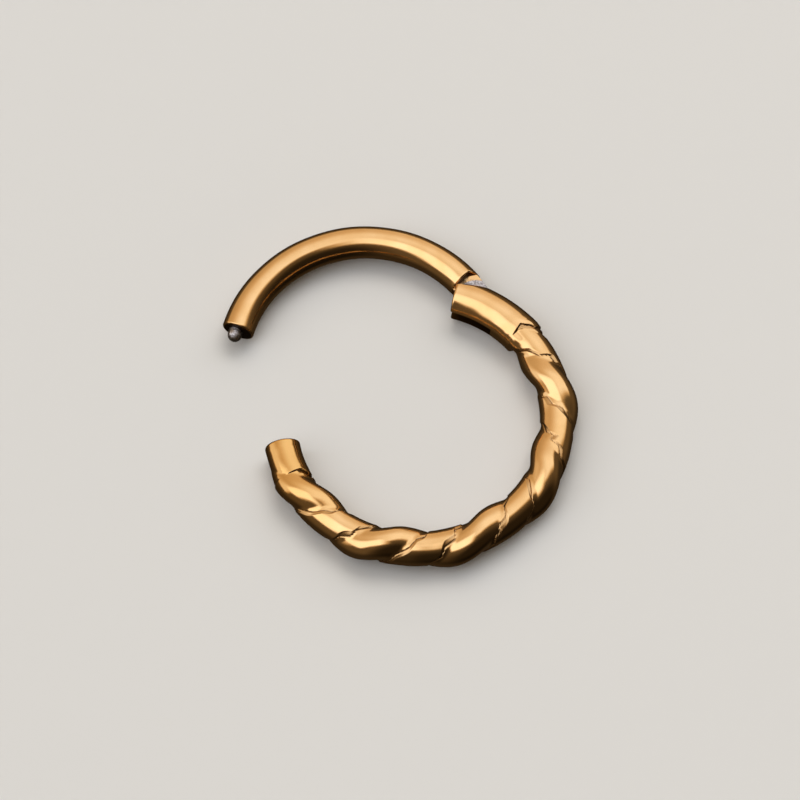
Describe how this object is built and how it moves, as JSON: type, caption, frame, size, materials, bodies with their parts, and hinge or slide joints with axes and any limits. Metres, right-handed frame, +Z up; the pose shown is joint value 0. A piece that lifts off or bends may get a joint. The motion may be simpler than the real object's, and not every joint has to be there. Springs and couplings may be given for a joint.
{
  "type": "helix clicker ring",
  "caption": "Hinged segment ring for an ear piercing: a plain round gate swings on a long arc cast as a two-strand twist, and a ball-nosed pin snaps it shut.",
  "frame": {"origin": "on the surface that the ring lies on, under the middle of the open ring's box", "axes": "+Z up, along the hinge pin and square to the ring's plane; +Y from the gap's lower end towards the gate; +X towards the hinge"},
  "size_m": [0.0126, 0.0134, 0.0016],
  "materials": {
    "gold_steel": "polished surgical steel under a gold-coloured vapour-deposited coating",
    "bare_steel": "polished bare surgical steel"
  },
  "bodies": {
    "ring": {"twisted_arc": "gold_steel", "hinge_pin": "bare_steel"},
    "gate": {"gate_arc": "gold_steel", "click_pin": "bare_steel"}
  },
  "joints": [
    {"name": "gate_hinge", "type": "hinge", "parent": "ring", "child": "gate", "pos_m": [0.00338, 0.0032, 0.00078], "axis": [0, 0, 1], "range_deg": [-60, 30]}
  ]
}
